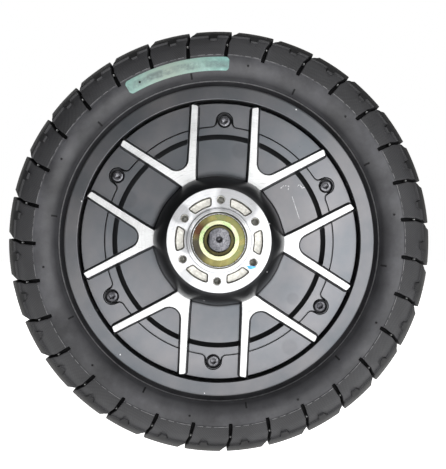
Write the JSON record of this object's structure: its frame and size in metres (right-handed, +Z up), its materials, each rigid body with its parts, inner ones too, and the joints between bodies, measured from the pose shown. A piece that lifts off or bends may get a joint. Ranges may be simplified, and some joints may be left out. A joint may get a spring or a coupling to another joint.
{
  "type": "hub motor wheel",
  "caption": "Small vehicle drive wheel with a brushless motor in its hub, a tubeless tyre, a spoked side cover and a flange for a brake disc.",
  "frame": {"origin": "centre of the wheel, on the axle's middle line and in the tyre's mid-plane", "axes": "+Y along the axle from the brake-disc side to the cable side, +Z up with the axle's flats facing +X and -X; the pictured side faces -Y"},
  "size_m": [0.2548, 0.16, 0.2548],
  "materials": {
    "black_paint": "cast, painted satin black",
    "tyre_rubber": "matte",
    "gold_zinc": "iridescent yellow zinc plating",
    "axle_steel": "oiled",
    "bearing_steel": "ground",
    "screw_steel": "black oxide",
    "lamination_steel": "stamped and varnished",
    "cast_aluminium": "as cast",
    "enamelled_copper": "enamelled",
    "circuit_board": "solder mask",
    "magnet_nickel": "nickel plated",
    "seal_rubber": "matte",
    "cap_plastic": "matte"
  },
  "bodies": {
    "axle_stator": {"axle": "axle_steel", "front_spacer": "gold_zinc", "rear_spacer": "axle_steel", "stator_core": "lamination_steel", "stator_carrier": "cast_aluminium", "winding_front": "enamelled_copper", "winding_rear": "enamelled_copper", "hall_board": "circuit_board", "inner_race_front": "bearing_steel", "inner_race_rear": "bearing_steel"},
    "rotor": {"rim": "black_paint", "tyre": "tyre_rubber", "front_cover": "black_paint", "cover_screw_1": "screw_steel", "cover_screw_2": "screw_steel", "cover_screw_3": "screw_steel", "cover_screw_4": "screw_steel", "cover_screw_5": "screw_steel", "cover_screw_6": "screw_steel", "flux_ring": "lamination_steel", "magnet_01": "magnet_nickel", "magnet_02": "magnet_nickel", "magnet_03": "magnet_nickel", "magnet_04": "magnet_nickel", "magnet_05": "magnet_nickel", "magnet_06": "magnet_nickel", "magnet_07": "magnet_nickel", "magnet_08": "magnet_nickel", "magnet_09": "magnet_nickel", "magnet_10": "magnet_nickel", "magnet_11": "magnet_nickel", "magnet_12": "magnet_nickel", "magnet_13": "magnet_nickel", "magnet_14": "magnet_nickel", "magnet_15": "magnet_nickel", "magnet_16": "magnet_nickel", "magnet_17": "magnet_nickel", "magnet_18": "magnet_nickel", "magnet_19": "magnet_nickel", "magnet_20": "magnet_nickel", "magnet_21": "magnet_nickel", "magnet_22": "magnet_nickel", "magnet_23": "magnet_nickel", "magnet_24": "magnet_nickel", "magnet_25": "magnet_nickel", "magnet_26": "magnet_nickel", "magnet_27": "magnet_nickel", "magnet_28": "magnet_nickel", "magnet_29": "magnet_nickel", "magnet_30": "magnet_nickel", "outer_race_front": "bearing_steel", "outer_race_rear": "bearing_steel", "rear_seal": "seal_rubber", "valve_stem": "seal_rubber", "valve_cap": "cap_plastic"},
    "ball_set_front": {"balls_front": "bearing_steel"},
    "ball_set_rear": {"balls_rear": "bearing_steel"}
  },
  "joints": [
    {"name": "wheel_spin", "type": "hinge", "parent": "axle_stator", "child": "rotor", "pos_m": [0, 0, 0], "axis": [0, 1, 0], "continuous": true},
    {"name": "ball_set_front_spin", "type": "hinge", "parent": "axle_stator", "child": "ball_set_front", "pos_m": [0, -0.0325, 0], "axis": [0, 1, 0], "continuous": true},
    {"name": "ball_set_rear_spin", "type": "hinge", "parent": "axle_stator", "child": "ball_set_rear", "pos_m": [0, 0.0325, 0], "axis": [0, 1, 0], "continuous": true}
  ],
  "couplings": [
    {"joint": "ball_set_front_spin", "follows": "wheel_spin", "ratio": 0.62},
    {"joint": "ball_set_rear_spin", "follows": "wheel_spin", "ratio": 0.62}
  ]
}
